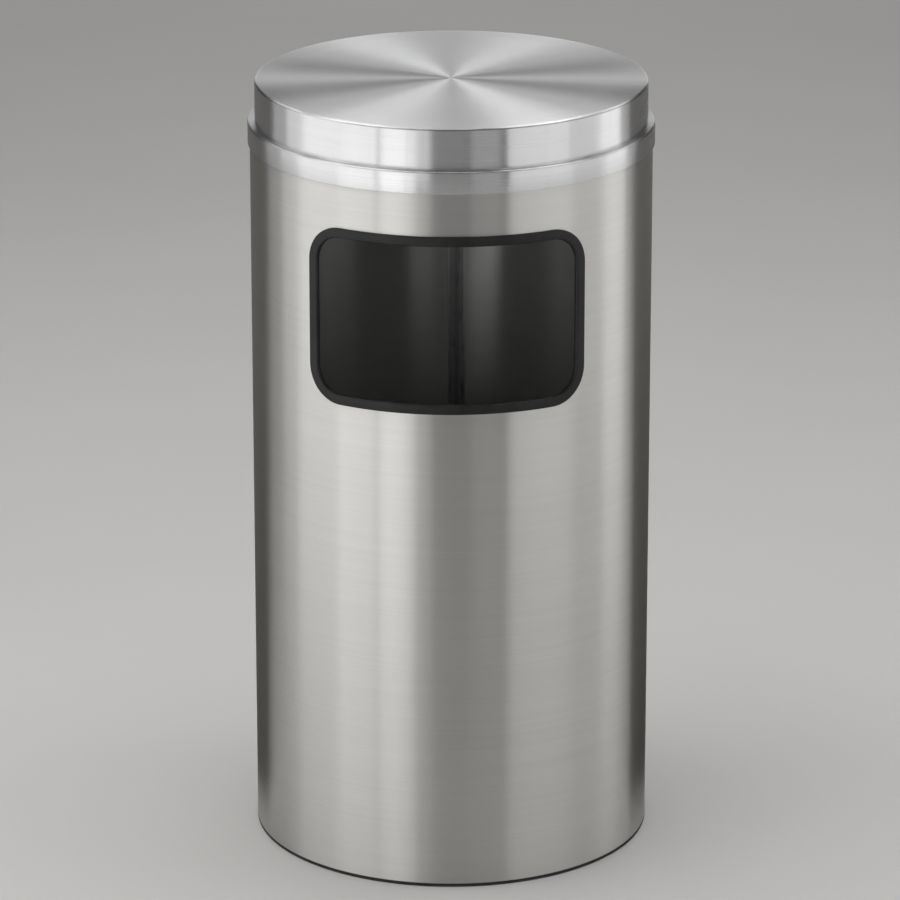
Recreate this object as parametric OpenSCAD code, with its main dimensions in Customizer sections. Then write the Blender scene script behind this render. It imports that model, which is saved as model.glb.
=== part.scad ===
// Flat top waste receptacle: a rolled sheet body with a rubber-edged waste opening,
// a spun cover that lifts off and a galvanised liner that lifts out by its bail.
// Millimetres, +Z up. The origin is on the floor under the middle of the body, and the
// waste opening faces -Y.

/* [Body] */
// Outside diameter of the body shell
body_d = 381; // [340:1:440]
// Height of the body sheet, from its lower edge to its upper edge
body_h = 701; // [640:1:780]
// Thickness of the body sheet
sheet_t = 1.6; // [1.2:0.1:2.2]
// Width of the butt joint where the rolled sheet's two ends meet at the back
butt_gap = 0.4; // [0.2:0.1:1]
// Width of the strap that backs the butt joint
strap_w = 16; // [12:1:30]
// Thickness of the strap
strap_t = 1.2; // [0.8:0.1:2]
// Distance from the body's upper edge down to the strap
strap_drop = 4; // [2:1:20]

/* [Waste opening] */
// Width of the cut-out, measured round the body
opening_w = 262; // [200:0.5:280]
// Height of the cut-out
opening_h = 155.5; // [120:0.5:180]
// Distance from the body's upper edge down to the cut-out
opening_drop = 68; // [50:1:100]
// Corner radius of the cut-out
opening_r = 28; // [15:0.5:35]
// Reach of the edging's two legs over the sheet
trim_reach = 7.5; // [5:0.5:9]
// Thickness of each leg of the edging
trim_leg_t = 1.8; // [1:0.1:1.8]
// Thickness of the edging over the cut edge
trim_lip_t = 2; // [1.5:0.1:3]

/* [Cover] */
// Thickness of the cover's metal
cover_t = 1.3; // [1.3:0.1:2]
// Gap between the body and the cover's skirt
cover_gap = 0.6; // [0.5:0.1:1]
// How far the skirt stands out from the band above it
cover_step = 6.8; // [5:0.1:9]
// Height of the band, from the shelf up to the flat top
band_h = 39; // [30:1:60]
// Height of the skirt, from its lower edge up to the shelf
skirt_h = 21; // [14:1:40]
// Outside radius of the bend round the flat top
top_bend_r = 2.6; // [2.4:0.1:5]
// Outside radius of the bend at the skirt's shoulder
shoulder_r = 1.8; // [1.7:0.1:1.9]
// Radius of the crease between the band and the shelf
crease_r = 0.6; // [0.4:0.1:1]

/* [Base] */
// Height of the base ring that shows under the body
ring_h = 3.5; // [2.5:0.5:8]
// Thickness of the base ring's inner leg
ring_leg_t = 2; // [1.5:0.1:4]
// Height of the base ring's inner leg
ring_leg_h = 9; // [6:0.5:11]
// Radius of the base ring's two lower corners
ring_corner_r = 1; // [0.5:0.1:1.4]
// Thickness of the base pan
pan_t = 1.2; // [0.8:0.1:2]
// Height of the pan's floor above the body's lower edge
pan_rise = 16.5; // [15:0.5:30]
// Outside radius of the bend round the pan's floor
pan_bend_r = 3; // [2.4:0.1:4]
// Radius of the ring bead pressed in the pan's floor
pan_bead_r = 110; // [80:1:135]

/* [Liner] */
// Room between the body sheet and the liner's wall
liner_gap = 16.4; // [14:0.2:40]
// Height of the liner, from its foot to the top of its rolled rim
liner_h = 317.7; // [220:0.1:330]
// Thickness of the liner's sheet
liner_t = 0.8; // [0.6:0.1:1]
// Diameter of the wire inside the rolled rim
rim_wire_d = 5; // [4:0.5:6]
// Height of the liner's bottom above its foot
bottom_rise = 9; // [7:0.5:15]
// Height of the lower stiffening bead above the foot
bead_low = 95; // [60:1:110]
// Height of the upper stiffening bead above the foot
bead_high = 195; // [140:1:200]
// Radius of the bends that form a pressed bead
bead_bend_r = 6; // [4:0.5:8]

/* [Ears and bail] */
// Thickness of the ears
ear_t = 1.6; // [1.2:0.1:2]
// Width of an ear where it is riveted to the wall
ear_w = 30; // [26:1:40]
// Width of an ear's upright, which is also the width of its round top
ear_lug_w = 15; // [13:0.5:18]
// Height of the riveted pad of an ear
ear_pad_h = 18; // [15:1:24]
// Radius of the rivets' shanks
rivet_r = 2; // [1.5:0.1:2.5]
// Distance between the two rivets of an ear
rivet_pitch = 16; // [13:0.5:18]
// Diameter of the bail's wire
bail_wire_d = 5; // [4:0.5:6]
// Radius at which the wire bends from the ear into the bail's bow
bail_bend_r = 6; // [5:0.5:10]

/* [Hidden] */
// Clearances
press_gap = 0.05;
eye_gap = 0.08;
fold_gap = 0.15;
rest_gap = 0.3;
// Body
body_r = body_d / 2;
body_in_r = body_r - sheet_t;
body_top = ring_h + body_h;
strap_r = body_in_r - press_gap;
opening_z = body_top - opening_drop - opening_h / 2;
corner_mid = 45;
reach = body_r + 20;
// Cover
skirt_in_r = body_r + cover_gap;
skirt_r = skirt_in_r + cover_t;
band_r = skirt_r - cover_step;
shelf_z = body_top + cover_t;
cover_top = shelf_z + band_h;
// Base
pan_r = body_in_r - press_gap;
pan_z = ring_h + pan_rise;
ring_leg_r = pan_r - pan_t - press_gap;
ring_in_r = ring_leg_r - ring_leg_t;
// Liner
liner_r = body_in_r - liner_gap;
liner_z = pan_z + rest_gap;
rim_wire_r = rim_wire_d / 2;
rim_r = liner_r + rim_wire_r;
rim_tube_r = rim_wire_r + liner_t;
rim_z = liner_z + liner_h - rim_tube_r;
curl_end = -110;
bottom_r = liner_r - liner_t - fold_gap;
hem_gap = liner_t + 2 * fold_gap;
hem_bend_r = (2 * liner_t + hem_gap) / 2;
hem_h = 6;
bottom_bend_r = 2.4;
bead_angle = 40;
// Ears and bail
bail_wire_r = bail_wire_d / 2;
pivot_z = rim_z + rim_tube_r + rest_gap + bail_wire_r;
ear_in_r = rim_r + rim_tube_r + rest_gap;
ear_r = ear_in_r + ear_t;
ear_pad_r = liner_r + press_gap + ear_t;
ear_bend_r = 1.5;
ear_slope = 60;
ear_corner_r = 4;
ear_jog_z = rim_z - rim_tube_r - rest_gap;
ear_jog_run = ear_r - ear_pad_r - (2 * ear_bend_r + ear_t) * (1 - cos(ear_slope));
ear_jog_drop = (2 * ear_bend_r + ear_t) * sin(ear_slope) + ear_jog_run / tan(ear_slope);
ear_pad_z = ear_jog_z - ear_jog_drop;
ear_foot_z = ear_pad_z - ear_pad_h;
rivet_z = ear_foot_z + ear_pad_h / 2;
rivet_turn = asin(rivet_pitch / 2 / liner_r);
rivet_head_r = 2 * rivet_r;
rivet_head_h = 1.6;
rivet_tail_h = 1.2;
rivet_tail_r = 1.6 * rivet_r;
rivet_tail_x = liner_r - liner_t - press_gap;
rivet_head_x = ear_pad_r + press_gap;
bail_r = rim_r - bail_bend_r;
bail_head_r = bail_wire_r + 2;
bail_head_t = 1.5;
bail_pin_l = ear_r + rest_gap - rim_r;
// Fineness of curves: the steps of bends in a section, and of drawn corners, in degrees
bend_step = 10;
corner_step = 7.5;
$fn = 240;

// A point at angle a on a circle of radius r
function at(a, r = 1) = r * [cos(a), sin(a)];

// Points along an arc round c, from angle a to angle b
function arc(c, r, a, b, step = bend_step) =
  let (n = ceil(abs(b - a) / step)) [for (i = [0:n]) c + at(a + (b - a) * i / n, r)];

// One face of a bent sheet, depth s below its outer face. Each step of the path is
// either an end, [point, outward angle], or a bend, [centre, outer face radius, from, to]
function step_face(p, s) =
  len(p) == 2 ? [p[0] - at(p[1], s)] : arc(p[0], p[2] > p[3] ? p[1] - s : p[1] + s, p[2], p[3]);
function sheet_face(path, s) = [for (p = path) each step_face(p, s)];
function reversed(list) = [for (i = [len(list) - 1:-1:0]) list[i]];

// Section of a sheet of thickness t along a path, ready to be turned round the Z axis
function sheet_section(path, t) = concat(sheet_face(path, 0), reversed(sheet_face(path, t)));

// The three bends of a pressed bead at point p of a sheet that faces angle d
function bead(p, d, r = bead_bend_r, a = bead_angle) =
  let (side = at(d - 90, 2 * r * sin(a)), out = at(d))
  [
    [p - side + r * out, r, d + 180, d + 180 + a],
    [p + (2 * (1 - cos(a)) - 1) * r * out, r, d + a, d - a],
    [p + side + r * out, r, d + 180 - a, d + 180]
  ];

// Outline of the waste opening as seen from the front, grown by g on every side: a
// round-cornered rectangle in the flat sheet, drawn in by the rolling of the sheet
function rolled(p) = [body_r * sin(p[0] / body_r * 180 / PI), p[1]];
function opening_corner(turn, g) =
  let (
    side = cos(turn + corner_mid) > 0 ? 1 : -1,
    level = sin(turn + corner_mid) > 0 ? 1 : -1,
    centre = [side * (opening_w / 2 - opening_r), opening_z + level * (opening_h / 2 - opening_r)]
  )
  arc(centre, opening_r + g, turn, turn + 2 * corner_mid, corner_step);
function opening_outline(g) = [
  for (k = [0:3]) each [for (p = opening_corner(2 * k * corner_mid, g)) rolled(p)]
];

// A sheet of thickness t turned round the Z axis
module spun(path, t) {
  rotate_extrude() polygon(sheet_section(path, t));
}

module tube(r_out, r_in, low, high) {
  translate([0, 0, low]) difference() {
    cylinder(r = r_out, h = high - low);
    translate([0, 0, -1]) cylinder(r = r_in, h = high - low + 2);
  }
}

// Everything in front of the middle plane that lies within an outline seen from the front
module seen_through(outline) {
  rotate([90, 0, 0]) linear_extrude(reach) polygon(outline);
}

// A flat-sided bar across the back of the body, over its whole height
module back_bar(width) {
  translate([-width / 2, 0, 0]) cube([width, reach, cover_top]);
}

// Body

module body_shell() color("#c6c6c4") difference() {
  tube(body_r, body_in_r, ring_h, body_top);
  seen_through(opening_outline(0));
  back_bar(butt_gap);
}

module seam_strap() color("#b4b4b1") intersection() {
  tube(strap_r, strap_r - strap_t, pan_z + rest_gap, body_top - strap_drop);
  back_bar(strap_w);
}

// A rubber channel pushed over the cut edge, with a leg on each face of the sheet
module opening_trim() color("#17181a") difference() {
  intersection() {
    tube(body_r + trim_leg_t, body_in_r - trim_leg_t, ring_h, body_top);
    seen_through(opening_outline(trim_reach));
  }
  seen_through(opening_outline(-trim_lip_t));
  difference() {
    tube(body_r, body_in_r, 0, cover_top);
    seen_through(opening_outline(0));
  }
}

module base_pan() color("#a9aaa9") spun([
  [[0, pan_z], 90],
  each bead([pan_bead_r, pan_z], 90),
  [[pan_r - pan_bend_r, pan_z - pan_bend_r], pan_bend_r, 90, 0],
  [[pan_r, ring_h], 0]
], pan_t);

// An angle-section strip: its floor is under the edges of the body and the pan's flange,
// and its leg stands inside the flange
module base_ring() color("#1b1b1c") rotate_extrude() polygon(concat(
  arc([body_r - ring_corner_r, ring_corner_r], ring_corner_r, 0, -90),
  arc([ring_in_r + ring_corner_r, ring_corner_r], ring_corner_r, -90, -180),
  [
    [ring_in_r, ring_h + ring_leg_h],
    [ring_leg_r, ring_h + ring_leg_h],
    [ring_leg_r, ring_h],
    [body_r, ring_h]
  ]
));

// Cover

// One spinning: the flat top, the band, the shelf that rests on the body's upper edge
// and the skirt that slips over the body
module cover() color("#cfcfce") spun([
  [[0, cover_top], 90],
  [[band_r - top_bend_r, cover_top - top_bend_r], top_bend_r, 90, 0],
  [[band_r + crease_r, shelf_z + crease_r], crease_r, 180, 270],
  [[skirt_r - shoulder_r, shelf_z - shoulder_r], shoulder_r, 90, 0],
  [[skirt_r, shelf_z - skirt_h], 0]
], cover_t);

// Liner

// Cylinder with a rim rolled outwards round a wire, two pressed beads, and a foot folded
// in and up round the bottom's flange
module liner_wall() color("#8f979b") difference() {
  spun([
    [[rim_r, rim_z], rim_wire_r + press_gap, curl_end, 180],
    each bead([liner_r, liner_z + bead_high], 0),
    each bead([liner_r, liner_z + bead_low], 0),
    [[liner_r - hem_bend_r, liner_z + hem_bend_r], hem_bend_r, 0, -180],
    [[liner_r - 2 * hem_bend_r, liner_z + hem_bend_r + hem_h], 180]
  ], liner_t);
  at_rivets() rivet_hole();
}

module liner_bottom() color("#878f93") spun([
  [[0, liner_z + bottom_rise], 90],
  [[bottom_r - bottom_bend_r, liner_z + bottom_rise - bottom_bend_r], bottom_bend_r, 90, 0],
  [[bottom_r, liner_z + hem_bend_r], 0]
], liner_t);

module liner_rim_wire() color("#7d8285") translate([0, 0, rim_z])
  rotate_extrude() translate([rim_r, 0]) circle(r = rim_wire_r);

// Ears, rivets and bail

// Outline of an ear as seen along the X axis
ear_outline = concat(
  arc([0, pivot_z], ear_lug_w / 2, 0, 180, corner_step),
  [[-ear_lug_w / 2, ear_jog_z], [-ear_w / 2, ear_pad_z]],
  arc([-ear_w / 2 + ear_corner_r, ear_foot_z + ear_corner_r], ear_corner_r, 180, 270),
  arc([ear_w / 2 - ear_corner_r, ear_foot_z + ear_corner_r], ear_corner_r, 270, 360),
  [[ear_w / 2, ear_pad_z], [ear_lug_w / 2, ear_jog_z]]
);

// Bent strip, from its top edge outside the rolled rim in to its pad on the wall
ear_path = [
  [[ear_r, pivot_z + ear_lug_w], 0],
  [[ear_r - ear_bend_r - ear_t, ear_jog_z], ear_bend_r + ear_t, 0, -ear_slope],
  [[ear_pad_r + ear_bend_r, ear_pad_z], ear_bend_r, 180 - ear_slope, 180],
  [[ear_pad_r, ear_foot_z - ear_corner_r], 0]
];

// An ear on the +X side, on the wall's own curve, with its eye for the bail
module ear() color("#9aa0a3") difference() {
  intersection() {
    rotate_extrude() polygon(sheet_section(ear_path, ear_t));
    rotate([90, 0, 90]) linear_extrude(reach) polygon(ear_outline);
  }
  translate([0, 0, pivot_z]) rotate([0, 90, 0]) cylinder(r = bail_wire_r + eye_gap, h = reach);
  at_rivets() rivet_hole();
}

module liner_ear_left() mirror([1, 0, 0]) ear();
module liner_ear_right() ear();

// Places of the four rivets, with the child's +X axis pointing outwards
module at_rivets() {
  for (side = [0, 180], turn = [-rivet_turn, rivet_turn])
    rotate([0, 0, side + turn]) translate([0, 0, rivet_z]) children();
}

module rivet_hole() {
  translate([liner_r - 2 * hem_bend_r, 0, 0]) rotate([0, 90, 0])
    cylinder(r = rivet_r + press_gap, h = 2 * hem_bend_r + 2 * ear_t);
}

// Low cone head outside the ear, flat tail inside the wall
module rivet() rotate([0, 90, 0]) {
  translate([0, 0, rivet_tail_x - rivet_tail_h]) cylinder(r = rivet_tail_r, h = rivet_tail_h);
  translate([0, 0, rivet_tail_x]) cylinder(r = rivet_r, h = rivet_head_x - rivet_tail_x);
  translate([0, 0, rivet_head_x]) cylinder(r1 = rivet_head_r, r2 = rivet_r, h = rivet_head_h);
}

module ear_rivets() color("#a7acae") at_rivets() rivet();

// Lies on the rolled rim at the back; turns about the line through the two eyes
module bail() color("#8b9093") translate([0, 0, pivot_z]) {
  translate([0, bail_bend_r, 0]) rotate_extrude(angle = 180) translate([bail_r, 0])
    circle(r = bail_wire_r);
  for (side = [0, 1]) mirror([side, 0, 0]) translate([rim_r, 0, 0]) {
    translate([0, bail_bend_r, 0]) rotate([0, 0, 180]) rotate_extrude(angle = 90)
      translate([bail_bend_r, 0]) circle(r = bail_wire_r);
    rotate([0, 90, 0]) cylinder(r = bail_wire_r, h = bail_pin_l + bail_head_t);
    translate([bail_pin_l, 0, 0]) rotate([0, 90, 0]) cylinder(r = bail_head_r, h = bail_head_t);
  }
}

body_shell();
seam_strap();
opening_trim();
base_pan();
base_ring();
cover();
liner_wall();
liner_bottom();
liner_rim_wire();
liner_ear_left();
liner_ear_right();
ear_rivets();
bail();
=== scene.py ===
# Flat top waste receptacle: finishes, rubber edging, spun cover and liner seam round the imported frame.
# Metres, +Z up, the waste opening facing -Y.
from math import ceil, cos, pi, radians, sin, tan

import bpy
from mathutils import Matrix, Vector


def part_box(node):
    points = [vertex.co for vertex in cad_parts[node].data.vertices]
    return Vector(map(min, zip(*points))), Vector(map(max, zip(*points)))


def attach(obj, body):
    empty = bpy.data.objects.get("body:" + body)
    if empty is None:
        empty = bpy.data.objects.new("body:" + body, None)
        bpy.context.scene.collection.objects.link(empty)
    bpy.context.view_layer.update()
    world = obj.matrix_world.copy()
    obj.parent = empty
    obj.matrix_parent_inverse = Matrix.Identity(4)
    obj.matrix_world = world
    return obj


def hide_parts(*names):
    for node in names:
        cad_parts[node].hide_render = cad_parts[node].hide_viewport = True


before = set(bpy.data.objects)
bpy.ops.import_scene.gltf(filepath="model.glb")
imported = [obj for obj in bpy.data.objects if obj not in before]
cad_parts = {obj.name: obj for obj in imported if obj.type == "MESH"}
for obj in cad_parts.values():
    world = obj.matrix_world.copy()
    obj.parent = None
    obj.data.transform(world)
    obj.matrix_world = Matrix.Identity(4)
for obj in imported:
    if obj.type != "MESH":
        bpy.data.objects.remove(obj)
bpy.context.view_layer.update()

# Body shell
# One sheet of aluminium, rolled round and butted at the back. It was brushed round and
# round on the outside, so the fine grain runs level. The inside is dull mill finish.
MM = 0.001
body_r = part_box("body_shell")[1].x
body_sheet = 1.6 * MM
body_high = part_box("body_shell")[1].z


def add_node(tree, kind, inputs=None, **settings):
    """A node with its settings made, and its inputs set to values or linked to sockets."""
    made = tree.nodes.new(kind)
    for name, value in settings.items():
        setattr(made, name, value)
    for name, value in (inputs or {}).items():
        feed_socket(tree, made.inputs[name], value)
    return made


def feed_socket(tree, socket, value):
    """Links a socket, or sets it. A colour is three numbers."""
    if isinstance(value, bpy.types.NodeSocket):
        tree.links.new(value, socket)
    elif socket.type == "RGBA":
        socket.default_value = (*value, 1.0)
    else:
        socket.default_value = value


def calc(tree, operation, *terms):
    """The result of one Math node."""
    return add_node(tree, "ShaderNodeMath", dict(enumerate(terms)), operation=operation).outputs[0]


def remap(tree, value, low, high, new_low=0.0, new_high=1.0):
    """The value with low..high stretched to new_low..new_high, and held at both ends."""
    limits = {"Value": value, "From Min": low, "From Max": high, "To Min": new_low, "To Max": new_high}
    return add_node(tree, "ShaderNodeMapRange", limits).outputs["Result"]


def noise(tree, place, scale, detail=3.0, roughness=0.5):
    """Noise from 0 to 1."""
    inputs = {"Vector": place, "Scale": scale, "Detail": detail, "Roughness": roughness}
    return add_node(tree, "ShaderNodeTexNoise", inputs).outputs["Fac"]


def mix_colours(tree, share, low, high):
    """A colour that goes from low to high as the share goes from 0 to 1."""
    made = add_node(tree, "ShaderNodeMix", data_type="RGBA")
    feed_socket(tree, made.inputs[0], share)
    feed_socket(tree, made.inputs[6], low)
    feed_socket(tree, made.inputs[7], high)
    return made.outputs[2]


def object_place(tree):
    """The place on the piece, and its three coordinates."""
    place = add_node(tree, "ShaderNodeTexCoord").outputs["Object"]
    return place, add_node(tree, "ShaderNodeSeparateXYZ", {"Vector": place}).outputs


def radius_of(tree, x, y):
    """Distance from the Z axis."""
    return calc(tree, "SQRT", calc(tree, "MULTIPLY_ADD", x, x, calc(tree, "MULTIPLY", y, y)))


def bend_place(tree, place, wander, far):
    """The place shifted by a wandering colour, far metres at most."""
    shift = {0: wander, 1: (far, far, far), 2: place}
    return add_node(tree, "ShaderNodeVectorMath", shift, operation="MULTIPLY_ADD").outputs[0]


def new_group(name, inputs, outputs):
    """An empty shader group: inputs are names with default values, outputs are names."""
    group = bpy.data.node_groups.new(name, "ShaderNodeTree")
    for label, default in inputs.items():
        socket = group.interface.new_socket(label, in_out="INPUT", socket_type="NodeSocketFloat")
        socket.default_value = default
    for label in outputs:
        group.interface.new_socket(label, in_out="OUTPUT", socket_type="NodeSocketFloat")
    given = group.nodes.new("NodeGroupInput").outputs
    out = group.nodes.new("NodeGroupOutput").inputs
    return group, given, out


def placed(tree, group, **inputs):
    """The outputs of a group placed in a material with the material's own values."""
    made = add_node(tree, "ShaderNodeGroup", node_tree=group)
    for name, value in inputs.items():
        feed_socket(tree, made.inputs[name.replace("_", " ")], value)
    return made.outputs


def build_turned_grain():
    """Lines that run round the Z axis, as a brush or a lathe tool leaves them."""
    group, given, out = new_group(
        "turned_grain", {"Lines per Metre": 1400.0, "Wander": 7.0, "Seed": 0.0}, ["Grain", "Coarse", "Bands"]
    )
    _, (x, y, z) = object_place(group)
    slant = 1.37  # counts radius as well as height, so flat and upright faces both get lines
    across = calc(group, "MULTIPLY_ADD", radius_of(group, x, y), slant, z)
    across = calc(group, "ADD", across, given["Seed"])
    for label, share in (("Grain", 1.0), ("Coarse", 0.16), ("Bands", 0.02)):
        lines = calc(group, "MULTIPLY", calc(group, "MULTIPLY", across, given["Lines per Metre"]), share)
        wander = calc(group, "MULTIPLY", given["Wander"], share**0.5)
        along_x, along_y = calc(group, "MULTIPLY", x, wander), calc(group, "MULTIPLY", y, wander)
        line_place = {"X": along_x, "Y": along_y, "Z": lines}
        spot = add_node(group, "ShaderNodeCombineXYZ", line_place).outputs[0]
        group.links.new(noise(group, spot, 1.0, 2.0), out[label])
    return group


def build_handling():
    """Cloudy smudges, and thin scratches that wander and break off."""
    scratch_share = 0.0022
    wander_far = 0.35
    fineness = {"Smudges per Metre": 9.0, "Scratches per Metre": 6.0}
    group, given, out = new_group("handling", fineness, ["Smudge", "Scratch"])
    place, _ = object_place(group)
    clouds = noise(group, place, given["Smudges per Metre"], 4.0, 0.6)
    group.links.new(remap(group, clouds, 0.45, 0.72), out["Smudge"])
    slow = {"Vector": place, "Scale": 5.0, "Detail": 1.0}
    wander = add_node(group, "ShaderNodeTexNoise", slow).outputs["Color"]
    bent = bend_place(group, place, wander, wander_far)
    cells = {"Vector": bent, "Scale": given["Scratches per Metre"]}
    edges = add_node(group, "ShaderNodeTexVoronoi", cells, feature="DISTANCE_TO_EDGE").outputs["Distance"]
    line = remap(group, edges, 0.0, scratch_share, 1.0, 0.0)
    broken = remap(group, noise(group, place, 21.0, 2.0), 0.5, 0.6)
    group.links.new(calc(group, "MULTIPLY", line, broken), out["Scratch"])
    return group


def build_ripple():
    """Slight flats and hollows from the rolls. They run straight up a wall, and outwards on a disc."""
    group, given, out = new_group("ripple", {"Fineness": 14.0, "Seed": 0.0}, ["Ripple", "Streak"])
    _, (x, y, _) = object_place(group)
    far = calc(group, "MAXIMUM", radius_of(group, x, y), MM)
    for label, share in (("Ripple", 1.0), ("Streak", 5.0)):
        size = calc(group, "DIVIDE", calc(group, "MULTIPLY", given["Fineness"], share), far)
        turn_x, turn_y = calc(group, "MULTIPLY", x, size), calc(group, "MULTIPLY", y, size)
        turn = {"X": turn_x, "Y": turn_y, "Z": given["Seed"]}
        spot = add_node(group, "ShaderNodeCombineXYZ", turn).outputs[0]
        group.links.new(noise(group, spot, 1.0, 1.0), out[label])
    return group


turned_grain = build_turned_grain()
handling = build_handling()
ripple = build_ripple()


def new_material(name, **constants):
    """A material's node tree and Principled shader, with the sockets that stay constant set."""
    material = bpy.data.materials.new(name)
    material.use_nodes = True
    shader = material.node_tree.nodes["Principled BSDF"]
    feed(shader, **constants)
    return material, material.node_tree, shader


def feed(shader, **sockets):
    """Sets or links sockets of a shader by name."""
    for name, value in sockets.items():
        feed_socket(shader.id_data, shader.inputs[name.replace("_", " ")], value)


def bump(tree, height, depth, strength=1.0, under=None):
    """A normal with the height pressed into it, depth in metres."""
    inputs = {"Height": height, "Strength": strength, "Distance": depth}
    if under is not None:
        inputs["Normal"] = under
    return add_node(tree, "ShaderNodeBump", inputs).outputs[0]


def round_tangent(tree):
    """The direction round the Z axis. A quarter turn of it draws highlights out across the grain."""
    return add_node(tree, "ShaderNodeTangent", direction_type="RADIAL", axis="Z").outputs[0]


def brushed_body():
    material, tree, shader = new_material("brushed_body", Anisotropic=1.0, Anisotropic_Rotation=0.25)
    _, (x, y, z) = object_place(tree)
    grain = placed(tree, turned_grain, Lines_per_Metre=1300.0, Wander=6.0)
    marks = placed(tree, handling)
    outside = remap(tree, radius_of(tree, x, y), body_r - 0.8 * MM, body_r - 0.5 * MM)
    rolls = placed(tree, ripple)
    lines = calc(tree, "MULTIPLY_ADD", grain["Grain"], 0.7, calc(tree, "MULTIPLY", grain["Coarse"], 0.3))

    # Level rub marks low on the body, where it meets brooms and trolleys
    low_down = remap(tree, z, 0.42, 0.1)
    rub_wear_and_edge_highlight = calc(tree, "MULTIPLY", remap(tree, grain["Bands"], 0.52, 0.72), low_down)

    # Spot welds along the butt joint, ground flush: two rows of faint rings at the back
    weld_pitch = 55 * MM
    weld_aside = 4.6 * MM
    weld_r, weld_fade = 1.6 * MM, 1.0 * MM
    weld_x = calc(tree, "SUBTRACT", calc(tree, "ABSOLUTE", x), weld_aside)
    weld_z = calc(tree, "SUBTRACT", calc(tree, "PINGPONG", z, weld_pitch / 2), weld_pitch / 4)
    from_weld = radius_of(tree, weld_x, weld_z)
    behind = remap(tree, y, body_r - 3 * MM, body_r - 1.5 * MM)
    weld = calc(tree, "MULTIPLY", remap(tree, from_weld, weld_r + weld_fade, weld_r), behind)

    outer = mix_colours(tree, remap(tree, lines, 0.3, 0.7), (0.60, 0.592, 0.574), (0.65, 0.642, 0.624))
    outer = mix_colours(tree, calc(tree, "MULTIPLY", rub_wear_and_edge_highlight, 0.12), outer, (0.50, 0.49, 0.47))
    outer = mix_colours(tree, calc(tree, "MULTIPLY", weld, 0.30), outer, (0.46, 0.45, 0.44))
    inner = mix_colours(tree, grain["Bands"], (0.52, 0.52, 0.505), (0.62, 0.62, 0.605))
    inner = mix_colours(tree, calc(tree, "MULTIPLY", marks["Smudge"], 0.15), inner, (0.36, 0.36, 0.35))
    satin = remap(tree, lines, 0.3, 0.7, 0.355, 0.33)
    satin = calc(tree, "MULTIPLY_ADD", marks["Smudge"], 0.02, satin)
    satin = calc(tree, "MULTIPLY_ADD", weld, 0.06, satin)
    bright_inside = calc(tree, "MULTIPLY_ADD", marks["Smudge"], 0.02, 0.28)
    satin = add_node(tree, "ShaderNodeMix", {0: outside, 2: bright_inside, 3: satin}).outputs[0]
    wave = bump(tree, rolls["Ripple"], 0.05 * MM)
    feed(
        shader,
        Base_Color=mix_colours(tree, outside, inner, outer),
        Metallic=remap(tree, outside, 0.0, 1.0, 0.6, 1.0),
        Roughness=satin,
        Tangent=round_tangent(tree),
        Normal=bump(tree, grain["Grain"], 0.006 * MM, 1.0, wave),
    )
    return material


def dress(material, *nodes):
    """Gives CAD nodes a material, through their objects' material slots."""
    for node in nodes:
        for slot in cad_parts[node].material_slots:
            slot.link = "OBJECT"
            slot.material = material


dress(brushed_body(), "body_shell")

# Seam strap and base pan
# Mill-finish aluminium. The strap is spot-welded behind the butt joint, the pan is pressed
# and spot-welded inside the lower edge. Neither was brushed, and both carry scuffs.
strap_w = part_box("seam_strap")[1].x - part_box("seam_strap")[0].x


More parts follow.
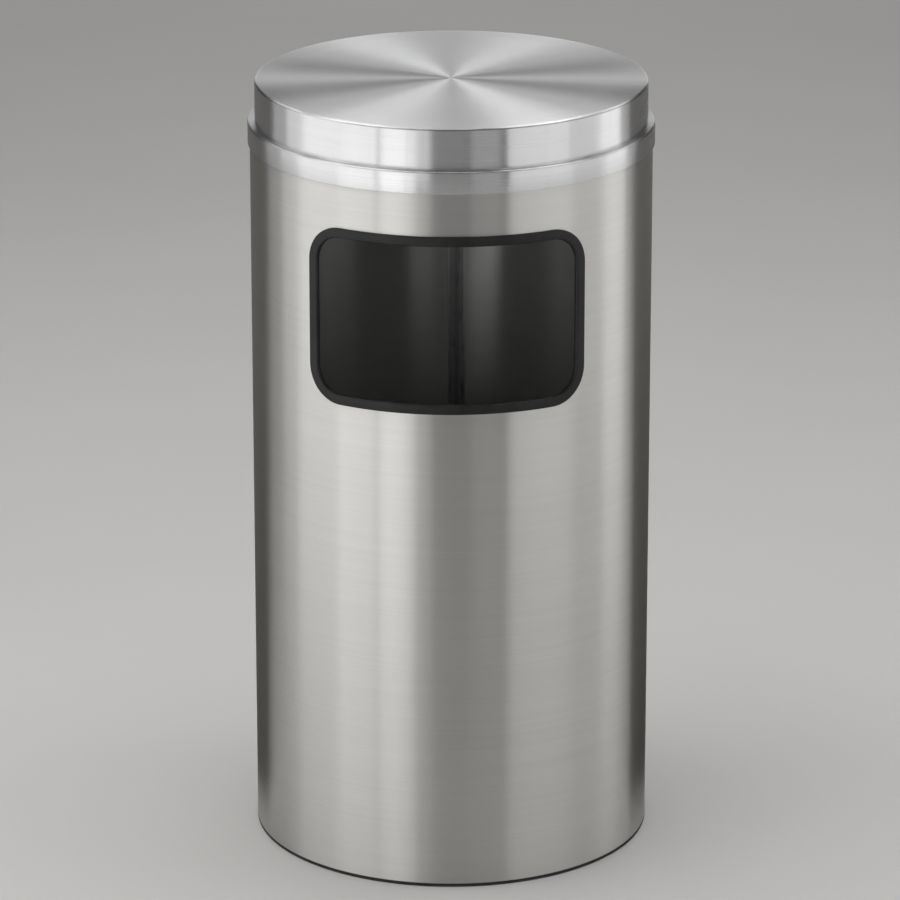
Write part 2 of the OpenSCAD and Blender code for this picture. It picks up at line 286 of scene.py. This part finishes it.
def mill_aluminium():
    material, tree, shader = new_material("mill_aluminium", Anisotropic=0.8, Anisotropic_Rotation=0.25)
    _, (x, y, z) = object_place(tree)
    grain = placed(tree, turned_grain, Lines_per_Metre=500.0, Wander=30.0, Seed=7.0)
    marks = placed(tree, handling, Smudges_per_Metre=24.0, Scratches_per_Metre=11.0)

    # Dark streaks where the strap was dragged into place, longer than they are wide
    streaks_across, streaks_up = 260.0, 34.0
    drawn_x, drawn_z = calc(tree, "MULTIPLY", x, streaks_across), calc(tree, "MULTIPLY", z, streaks_up)
    drawn = {"X": drawn_x, "Y": y, "Z": drawn_z}
    drawn_place = add_node(tree, "ShaderNodeCombineXYZ", drawn).outputs[0]
    streak = remap(tree, noise(tree, drawn_place, 1.0, 4.0, 0.6), 0.56, 0.68)
    shade = mix_colours(tree, grain["Coarse"], (0.40, 0.40, 0.393), (0.52, 0.52, 0.513))
    shade = mix_colours(tree, calc(tree, "MULTIPLY", marks["Smudge"], 0.5), shade, (0.22, 0.22, 0.21))
    shade = mix_colours(tree, calc(tree, "MULTIPLY", streak, 0.7), shade, (0.10, 0.10, 0.10))

    # Only the strap is above the pan: dirt down its middle, and a painted highlight along its two sheared
    # edges, lighter colour and full metal there, standing in for light caught by their side faces
    pan_top = 25 * MM
    on_strap = remap(tree, z, pan_top, pan_top + 5 * MM)
    aside = calc(tree, "ABSOLUTE", x)
    dirt_half, dirt_fade = 1.2 * MM, 2.2 * MM
    dirt = calc(tree, "MULTIPLY", remap(tree, aside, dirt_half + dirt_fade, dirt_half), on_strap)
    edge_w, edge_fade = 0.9 * MM, 0.7 * MM
    edge_highlight_band = remap(tree, aside, strap_w / 2 - edge_w - edge_fade, strap_w / 2 - edge_w)
    rub_wear_and_edge_highlight = calc(tree, "MULTIPLY", edge_highlight_band, on_strap)
    shade = mix_colours(tree, calc(tree, "MULTIPLY", dirt, 0.35), shade, (0.12, 0.12, 0.115))
    # Painted highlight: the strap's two edges are mixed towards near white
    shade = mix_colours(tree, calc(tree, "MULTIPLY", rub_wear_and_edge_highlight, 0.9), shade, (0.88, 0.88, 0.87))
    feed(
        shader,
        Base_Color=mix_colours(tree, calc(tree, "MULTIPLY", marks["Scratch"], 0.5), shade, (0.5, 0.5, 0.5)),
        # Full metal along the painted edge highlight, part metal elsewhere
        Metallic=remap(tree, rub_wear_and_edge_highlight, 0.0, 1.0, 0.7, 1.0),
        Roughness=calc(tree, "MULTIPLY_ADD", marks["Smudge"], 0.1, 0.28),
        Tangent=round_tangent(tree),
        Normal=bump(tree, grain["Grain"], 0.02 * MM),
    )
    return material


dress(mill_aluminium(), "seam_strap", "base_pan")

# Base ring
# A strip of black vinyl, angle-shaped, pressed in under the edges of the body and the pan.
# It is matt, and dusty where it meets the floor.


def base_vinyl():
    material, tree, shader = new_material("base_vinyl", Specular_IOR_Level=0.35)
    place, (_, _, z) = object_place(tree)
    dusty_up_to = 2.5 * MM
    speckle = noise(tree, place, 900.0, 2.0)
    patchy = remap(tree, noise(tree, place, 60.0, 4.0), 0.4, 0.7)
    dust = calc(tree, "MULTIPLY", patchy, remap(tree, z, dusty_up_to, 0.0))
    feed(
        shader,
        Base_Color=mix_colours(tree, dust, (0.012, 0.012, 0.012), (0.075, 0.07, 0.06)),
        Roughness=remap(tree, speckle, 0.3, 0.7, 0.55, 0.75),
        Normal=bump(tree, speckle, 0.05 * MM, 0.5),
    )
    return material


dress(base_vinyl(), "base_ring")

# Opening trim
# An extruded channel of black rubber, pushed over the cut edge all round the opening. Its two
# legs grip the sheet and its lip is rounded. The ends meet at the middle of the sill.
cut_w = 262 * MM
cut_h = 155.5 * MM
cut_corner = 28 * MM
cut_z = (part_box("opening_trim")[0].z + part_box("opening_trim")[1].z) / 2
trim_reach = 7.5 * MM
trim_lip = 2.0 * MM


def arc(centre, radius, start, end, step):
    """Points round an arc, in degrees, both ends included."""
    count = ceil(abs(end - start) / step)
    turns = [radians(start + (end - start) * i / count) for i in range(count + 1)]
    return [(centre[0] + radius * cos(t), centre[1] + radius * sin(t)) for t in turns]


def new_piece(name, verts, faces, material, slot, body, crease=35):
    """A smooth-shaded mesh piece that takes its finish from a slot and rides on a body. The slot argument is
    not used.
    """
    mesh = bpy.data.meshes.new(name)
    mesh.from_pydata(verts, [], faces)
    mesh.materials.append(material)
    mesh.shade_smooth()
    mesh.set_sharp_from_angle(angle=radians(crease))
    mesh.validate()
    piece = bpy.data.objects.new(name, mesh)
    bpy.context.collection.objects.link(piece)
    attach(piece, body)
    return piece


def grid_faces(rows, columns, wrap_rows=True, wrap_columns=True):
    """Quads between neighbouring points of a grid, closed on itself where it wraps."""
    row_pairs = rows if wrap_rows else rows - 1
    column_pairs = columns if wrap_columns else columns - 1
    return [
        (
            i * columns + j,
            i * columns + (j + 1) % columns,
            (i + 1) % rows * columns + (j + 1) % columns,
            (i + 1) % rows * columns + j,
        )
        for i in range(row_pairs)
        for j in range(column_pairs)
    ]


def opening_path():
    """Points on the cut edge in the flat sheet, each with its outward direction."""
    corner_step = 6
    side_step = 7 * MM
    path = []
    for corner in range(4):
        start = 90 * corner
        side = 1 if corner in (0, 3) else -1
        level = 1 if corner in (0, 1) else -1
        centre = (side * (cut_w / 2 - cut_corner), level * (cut_h / 2 - cut_corner))
        for turn in range(0, 91, corner_step):
            angle = radians(start + turn)
            out = (cos(angle), sin(angle))
            path.append(((centre[0] + cut_corner * out[0], centre[1] + cut_corner * out[1]), out))
        length = (cut_w if corner in (0, 2) else cut_h) - 2 * cut_corner
        last, out = path[-1]
        along = (-out[1], out[0])
        count = round(length / side_step)
        path += [
            ((last[0] + along[0] * length * i / count, last[1] + along[1] * length * i / count), out)
            for i in range(1, count)
        ]
    return path


def trim_section():
    """Section of the channel: how far out from the cut edge, and how far out of the sheet's face."""
    leg = 1.8 * MM
    tip_r = 0.8 * MM
    lip_r = 1.9 * MM
    outer_tip = arc((trim_reach - tip_r, leg - tip_r), tip_r, 0, 90, 22.5)
    outer_lip = arc((lip_r - trim_lip, leg - lip_r), lip_r, 90, 180, 15)
    inner_lip = arc((lip_r - trim_lip, lip_r - leg - body_sheet), lip_r, 180, 270, 15)
    inner_tip = arc((trim_reach - tip_r, tip_r - leg - body_sheet), tip_r, 270, 360, 22.5)
    bite = 0.05 * MM  # the legs press this far into the sheet
    groove = [(trim_reach, bite - body_sheet), (0.0, bite - body_sheet), (0.0, -bite), (trim_reach, -bite)]
    return outer_tip + outer_lip + inner_lip + inner_tip + groove


def rolled(along, up, proud):
    """A point of the flat sheet, rolled onto the body, proud of its outer face."""
    angle = along / body_r
    return ((body_r + proud) * sin(angle), -(body_r + proud) * cos(angle), cut_z + up)


def black_rubber():
    material, tree, shader = new_material("black_rubber", Specular_IOR_Level=0.25)
    place, _ = object_place(tree)
    fine = noise(tree, place, 700.0, 3.0)
    bloom = remap(tree, noise(tree, place, 35.0, 4.0, 0.6), 0.42, 0.7)
    feed(
        shader,
        Base_Color=mix_colours(tree, bloom, (0.010, 0.010, 0.0095), (0.020, 0.020, 0.019)),
        Roughness=calc(tree, "MULTIPLY_ADD", bloom, 0.12, remap(tree, fine, 0.3, 0.7, 0.38, 0.46)),
        Normal=bump(tree, fine, 0.03 * MM, 0.4),
    )
    return material


trim_path = opening_path()
trim_ring = trim_section()
trim_points = [
    rolled(spot[0] + out[0] * reach, spot[1] + out[1] * reach, proud)
    for spot, out in trim_path
    for reach, proud in trim_ring
]
trim_faces = grid_faces(len(trim_path), len(trim_ring))
trim = new_piece("edging_rubber", trim_points, trim_faces, black_rubber(), "black_rubber", "body")
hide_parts("opening_trim")

# Cover
# One spinning of aluminium: flat top, band, shelf and skirt, with the lathe's circular grain
# all over. Its edge is trimmed and rounded. It rests on the body's upper edge and lifts off.
cover_low, cover_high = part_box("cover")
cover_t = 1.3 * MM
shelf_width = 6.8 * MM
skirt_r = cover_high.x
band_r = skirt_r - shelf_width
shelf_z = body_high + cover_t
top_z = cover_high.z
skirt_z = cover_low.z


def bent_sheet(path, thickness, step=12):
    """Both faces of a sheet: a step is an end (r, z, facing) or a bend (r, z, outer radius, from, to)."""
    faces = []
    for depth in (0.0, thickness):
        face = []
        for bend in path:
            if len(bend) == 3:
                r, z, facing = bend
                turn = radians(facing)
                face.append((r - depth * cos(turn), z - depth * sin(turn)))
            else:
                r, z, radius, start, end = bend
                face += arc((r, z), radius - depth if start > end else radius + depth, start, end, step)
        faces.append(face)
    return faces


def turned(section, segments=256):
    """Points and faces of a section turned round the Z axis. It starts and ends on the axis."""
    ring = section[1:-1]
    verts = [
        (r * cos(2 * pi * i / segments), r * sin(2 * pi * i / segments), z)
        for i in range(segments)
        for r, z in ring
    ]
    top = len(verts)
    verts += [(0.0, 0.0, section[0][1]), (0.0, 0.0, section[-1][1])]
    faces = [face[::-1] for face in grid_faces(segments, len(ring), True, False)]
    for i in range(segments):
        here, there = i * len(ring), (i + 1) % segments * len(ring)
        faces.append((top, here, there))
        faces.append((top + 1, there + len(ring) - 1, here + len(ring) - 1))
    return verts, faces


def cover_section():
    bend_r = 2.6 * MM
    crease_r = 0.6 * MM
    shoulder_r = 1.8 * MM
    edge_r = 0.45 * MM
    rings = [20 * MM, 60 * MM, 110 * MM, 150 * MM]
    outer, inner = bent_sheet(
        [(0.0, top_z, 90)]
        + [(r, top_z, 90) for r in rings]
        + [
            (band_r - bend_r, top_z - bend_r, bend_r, 90, 0),
            (band_r + crease_r, shelf_z + crease_r, crease_r, 180, 270),
            (skirt_r - shoulder_r, shelf_z - shoulder_r, shoulder_r, 90, 0),
            (skirt_r, skirt_z + edge_r, 0),
        ],
        cover_t,
    )
    edge = arc((skirt_r - edge_r, skirt_z + edge_r), edge_r, 0, -90, 30)
    edge += arc((skirt_r - cover_t + edge_r, skirt_z + edge_r), edge_r, 270, 180, 30)
    return outer[:-1] + edge + inner[-2::-1]


def spun_cover():
    material, tree, shader = new_material(
        "spun_cover", Metallic=1.0, Anisotropic=1.0, Anisotropic_Rotation=0.25
    )
    _, (x, y, z) = object_place(tree)
    grain = placed(tree, turned_grain, Lines_per_Metre=1500.0, Wander=1.5, Seed=3.0)
    marks = placed(tree, handling, Smudges_per_Metre=7.0)
    rays = placed(tree, ripple, Fineness=9.0, Seed=5.0)
    lines = calc(tree, "MULTIPLY_ADD", grain["Grain"], 0.7, calc(tree, "MULTIPLY", grain["Coarse"], 0.3))

    # The flat top is cut finer. The band and the skirt show more of the lathe's lines
    fine_share = 0.25
    lined = remap(tree, z, top_z - 1 * MM, top_z - 3 * MM, fine_share, 1.0)
    lines = calc(tree, "MULTIPLY_ADD", calc(tree, "SUBTRACT", lines, 0.5), lined, 0.5)
    shade = mix_colours(tree, remap(tree, lines, 0.3, 0.7), (0.62, 0.62, 0.624), (0.67, 0.67, 0.674))
    shade = mix_colours(tree, remap(tree, rays["Streak"], 0.5, 0.8, 0.0, 0.3), shade, (0.57, 0.57, 0.577))
    outwards = calc(tree, "DIVIDE", radius_of(tree, x, y), skirt_r)
    wave = bump(tree, calc(tree, "MULTIPLY", rays["Ripple"], outwards), 0.04 * MM)
    satin = calc(tree, "MULTIPLY_ADD", marks["Smudge"], 0.01, remap(tree, lines, 0.3, 0.7, 0.275, 0.25))
    feed(
        shader,
        Base_Color=shade,
        Roughness=satin,
        Tangent=round_tangent(tree),
        Normal=bump(tree, grain["Grain"], 0.002 * MM, 1.0, wave),
    )
    return material


cover = new_piece("spun_cover", *turned(cover_section()), spun_cover(), "spun_cover", "cover")
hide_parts("cover")

# Liner wall, bottom and side seam
# Galvanised steel sheet: a rolled wall with a wired rim and a folded foot, and a flanged
# bottom. The wall's own joint is a grooved seam, hammered flat, at the back.
liner_low, liner_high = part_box("liner_wall")
flange_to_wall = 0.95 * MM
liner_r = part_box("liner_bottom")[1].x + flange_to_wall


def build_spangle():
    """The crystals of a zinc coat: flat patches, each with its own brightness."""
    group, given, out = new_group("spangle", {"Crystals per Metre": 90.0}, ["Crystal", "Fern"])
    place, _ = object_place(group)
    warp = add_node(group, "ShaderNodeTexNoise", {"Vector": place, "Scale": 130.0}).outputs["Color"]
    bent = bend_place(group, place, warp, 6 * MM)
    cells = {"Vector": bent, "Scale": given["Crystals per Metre"]}
    colour = add_node(group, "ShaderNodeTexVoronoi", cells).outputs["Color"]
    parts = add_node(group, "ShaderNodeSeparateColor", {"Color": colour}).outputs
    group.links.new(parts[0], out["Crystal"])
    fern = noise(group, bent, 420.0, 3.0)
    group.links.new(fern, out["Fern"])
    return group


spangle = build_spangle()


def galvanised_sheet():
    material, tree, shader = new_material("galvanised_sheet", Metallic=1.0)
    coat = placed(tree, spangle)
    marks = placed(tree, handling, Smudges_per_Metre=12.0, Scratches_per_Metre=9.0)
    patch = calc(tree, "MULTIPLY_ADD", coat["Fern"], 0.35, calc(tree, "MULTIPLY", coat["Crystal"], 0.65))
    shade = mix_colours(tree, patch, (0.33, 0.35, 0.37), (0.58, 0.60, 0.62))
    shade = mix_colours(tree, calc(tree, "MULTIPLY", marks["Smudge"], 0.35), shade, (0.30, 0.30, 0.29))
    feed(
        shader,
        Base_Color=mix_colours(tree, calc(tree, "MULTIPLY", marks["Scratch"], 0.6), shade, (0.7, 0.7, 0.7)),
        Roughness=calc(tree, "MULTIPLY_ADD", marks["Smudge"], 0.12, remap(tree, patch, 0.0, 1.0, 0.46, 0.34)),
        Normal=bump(tree, coat["Crystal"], 0.03 * MM, 0.3),
    )
    return material


galvanised = galvanised_sheet()
dress(galvanised, "liner_wall", "liner_bottom")

bead_heights = [95 * MM, 195 * MM]
seam_width = 6.4 * MM
seam_proud = 0.9 * MM
seam_below_rim = 7.4 * MM
seam_top = liner_high.z - seam_below_rim


def bead_bends(height):
    """The three bends of a bead pressed outwards in the wall, from the top one down."""
    bend_r = 6 * MM
    lean = 40
    z = liner_low.z + height
    run = 2 * bend_r * sin(radians(lean))
    crown = liner_r + (2 * (1 - cos(radians(lean))) - 1) * bend_r
    return [
        (liner_r + bend_r, z + run, bend_r, 180, 180 + lean),
        (crown, z, bend_r, lean, -lean),
        (liner_r + bend_r, z - run, bend_r, 180 - lean, 180),
    ]


def side_seam():
    """The flattened seam: its section follows the wall's outer face down over both beads."""
    route = [(liner_r, seam_top, 0)]
    for height in reversed(bead_heights):
        route += bead_bends(height)
    route.append((liner_r, liner_low.z + 2 * MM, 0))
    wall, raised = bent_sheet(route, -seam_proud)
    # Places across the seam, in widths, and how proud each is, as a share
    fold = [(-0.5, -0.1), (-0.47, 0.7), (-0.42, 1.0), (-0.24, 1.0)]
    fold += [(-0.2, 0.8), (-0.16, 1.0), (0.4, 1.0), (0.5, -0.1)]
    verts = []
    for (r, z), (raised_r, raised_z) in zip(wall, raised):
        for side, rise in fold:
            verts.append((side * seam_width, r + (raised_r - r) * rise, z + (raised_z - z) * rise))
    faces = [face[::-1] for face in grid_faces(len(wall), len(fold), False, True)]
    faces += [tuple(range(len(fold)))[::-1], tuple(range(len(verts) - len(fold), len(verts)))]
    return verts, faces


new_piece("liner_side_seam", *side_seam(), galvanised, "galvanised_sheet", "liner")

# Rim wire, bail, ears and rivets
# Drawn steel wire and small steel pressings, all with a dull zinc coat. The bail is bent from
# one length of wire, with upset ends that turn in the ears' eyes.


def zinc_coat(name, light, dark, roughness):
    material, tree, shader = new_material(name, Metallic=1.0)
    place, _ = object_place(tree)
    mottle = noise(tree, place, 160.0, 4.0, 0.6)
    marks = placed(tree, handling, Smudges_per_Metre=40.0, Scratches_per_Metre=30.0)
    shade = mix_colours(tree, remap(tree, mottle, 0.3, 0.7), dark, light)
    feed(
        shader,
        Base_Color=mix_colours(tree, calc(tree, "MULTIPLY", marks["Smudge"], 0.4), shade, (0.25, 0.25, 0.24)),
        Roughness=remap(tree, mottle, 0.3, 0.7, roughness + 0.08, roughness - 0.05),
        Normal=bump(tree, mottle, 0.04 * MM, 0.5),
    )
    return material


dress(zinc_coat("zinc_wire", (0.52, 0.53, 0.54), (0.36, 0.37, 0.38), 0.38), "liner_rim_wire", "bail")
dress(
    zinc_coat("zinc_pressing", (0.58, 0.59, 0.60), (0.42, 0.43, 0.44), 0.34),
    "liner_ear_left",
    "liner_ear_right",
    "ear_rivets",
)

# Studio
# A pale floor, two grey cards at the sides, upright strip softboxes, soft panels above and behind
# for the flat top, and a ceiling. Azimuths are degrees from the front, positive to the right.


def plain_floor():
    material, tree, shader = new_material("studio_floor", Roughness=0.9, Specular_IOR_Level=0.2)
    place, _ = object_place(tree)
    cloudy = noise(tree, place, 2.0, 5.0)
    feed(shader, Base_Color=mix_colours(tree, cloudy, (0.44, 0.434, 0.423), (0.48, 0.474, 0.463)))
    return material


def studio_panel(name, corners, material):
    """A flat sheet of the studio, which isn't part of the object."""
    mesh = bpy.data.meshes.new(name)
    mesh.from_pydata(corners, [], [range(len(corners))])
    mesh.materials.append(material)
    piece = bpy.data.objects.new(name, mesh)
    bpy.context.collection.objects.link(piece)
    return piece


floor_half = 30.0
floor_corners = [(x, y, 0.0) for x, y in ((-1, -1), (1, -1), (1, 1), (-1, 1))]
studio_panel("floor", [tuple(floor_half * v for v in corner) for corner in floor_corners], plain_floor())


def grey_card(name, low_azimuths, low_distance, high_azimuths, high_distance, height):
    """A leaning grey card that only reflections see. It keeps the tube's sides dark against the floor."""
    material, _, _ = new_material(name, Base_Color=(0.23, 0.225, 0.213), Roughness=1.0)
    ends = [(a, low_distance, 0.0) for a in low_azimuths]
    ends += [(a, high_distance, height) for a in reversed(high_azimuths)]
    corners = [(far * sin(radians(a)), -far * cos(radians(a)), level) for a, far, level in ends]
    card = studio_panel(name, corners, material)
    card.visible_camera = False
    card.visible_diffuse = False
    card.visible_shadow = False


card_near = 0.26
card_far = 0.42
card_height = 0.7
grey_card("left_card", (-125, -88), card_near, (-152, -105), card_far, card_height)
grey_card("right_card", (87, 124), card_near, (104, 152), card_far, card_height)


def softbox(name, azimuths, distance, elevation, base, height, radiance):
    """A rectangular lamp that faces the object, spans two azimuths and is tilted down by its elevation."""
    turn = radians(sum(azimuths) / 2)
    rise = radians(elevation)
    reach = distance * cos(rise)
    data = bpy.data.lights.new(name, "AREA")
    data.shape = "RECTANGLE"
    data.size = 2 * reach * tan(radians(azimuths[1] - azimuths[0]) / 2)
    data.size_y = height
    data.energy = radiance * pi * data.size * data.size_y
    lamp = bpy.data.objects.new(name, data)
    bpy.context.collection.objects.link(lamp)
    lamp.location = (reach * sin(turn), -reach * cos(turn), base + height / 2 + distance * sin(rise))
    lamp.rotation_euler = (pi / 2 - rise, 0, turn)
    lamp.visible_camera = False


# Strip softboxes: azimuths, then the radiance of the lower and of the upper half
strips = {
    "left_edge": ((-116, -101.5), 0.05, 0.45),
    "left_far": ((-101.5, -89), 0.3, 1.15),
    "left_side": ((-89, -61), 0.95, 1.65),
    "left": ((-61, -38.5), 1.6, 1.55),
    "front_left": ((-37.2, -23), 1.95, 1.7),
    "front_left_edge": ((-23, -17.4), 1.4, 1.55),
    "front_left_fade": ((-17.4, -9.2), 0.1, 1.45),
    "front": ((-9.2, 9.9), 0.0, 0.22),
    "front_right": ((11.6, 27.7), 0.0, 0.58),
    "right": ((31.8, 70), 0.45, 1.55),
    "right_side": ((70, 91), 0.3, 1.15),
    "right_far": ((91, 109.5), 0.7, 1.6),
    "right_edge": ((109.5, 119.7), 0.42, 0.35),
}
strip_distance = 1.3
strip_base = 0.03
strip_half = 0.41
for name, (azimuths, lower, upper) in strips.items():
    if lower:
        softbox(name + "_lower", azimuths, strip_distance, 0, strip_base, strip_half, lower)
    softbox(name + "_upper", azimuths, strip_distance, 0, strip_base + strip_half, strip_half, upper)

# Panels overhead: azimuths, elevation, height, radiance. The bends of the cover see the high ones
panels = {
    "low_left_back": ((-137, -113), 38, 0.62, 1.3),
    "low_left": ((-112, -63), 38, 0.62, 1.6),
    "low_right": ((88, 112), 38, 0.62, 0.75),
    "low_right_back": ((113, 137), 38, 0.62, 1.8),
    "high_left": ((-112, -38), 62, 1.25, 2.0),
    "high_right": ((63, 112), 62, 1.25, 2.5),
    "zenith": ((-78, 78), 88, 0.7, 2.0),
}
panel_distance = 2.2
panel_aim = 0.5
for name, (azimuths, elevation, height, radiance) in panels.items():
    softbox(name, azimuths, panel_distance, elevation, panel_aim - height / 2, height, radiance)

# Behind: two panels and a lower one between them, which the flat top reflects, and a far wall of light
back = {"distance": 2.6, "base": 0.16, "height": 0.68}
softbox("back_left", (-175, -135), elevation=55, radiance=2.1, **back)
softbox("back_right", (135, 175), elevation=55, radiance=2.85, **back)
softbox("back_middle", (150, 210), elevation=40, radiance=1.3, **back)
softbox("far_back", (160, 200), distance=4.5, elevation=0, base=0.3, height=1.7, radiance=0.62)

# A pale ceiling's light, even over the floor. The metal doesn't reflect it
ceiling_height = 4.5
ceiling_size = 50.0
ceiling_radiance = 0.36
ceiling_data = bpy.data.lights.new("ceiling", "AREA")
ceiling_data.size = ceiling_size
ceiling_data.energy = ceiling_radiance * pi * ceiling_size**2
ceiling = bpy.data.objects.new("ceiling", ceiling_data)
bpy.context.collection.objects.link(ceiling)
ceiling.location = (0.0, 0.0, ceiling_height)
ceiling.visible_camera = False
ceiling.visible_glossy = False

dim_room = (0.07, 0.07, 0.073, 1.0)
world = bpy.data.worlds.new("studio")
bpy.context.scene.world = world
world.use_nodes = True
world.node_tree.nodes["Background"].inputs["Color"].default_value = dim_room

# A long lens, tilted down, a little to the right of the front
camera_data = bpy.data.cameras.new("camera")
camera = bpy.data.objects.new("camera", camera_data)
bpy.context.collection.objects.link(camera)
bpy.context.scene.camera = camera
camera_distance = 4.743
camera_height = 1.973
camera_pitch = 18.62
camera_turn = 1.6
camera_data.sensor_width = 36.0
camera_data.lens = 207.7
camera_data.shift_x = -0.0015
side_turn = radians(camera_turn)
camera.location = (camera_distance * sin(side_turn), -camera_distance * cos(side_turn), camera_height)
camera.rotation_euler = (radians(90 - camera_pitch), 0, side_turn)
bpy.context.scene.view_settings.view_transform = "Standard"
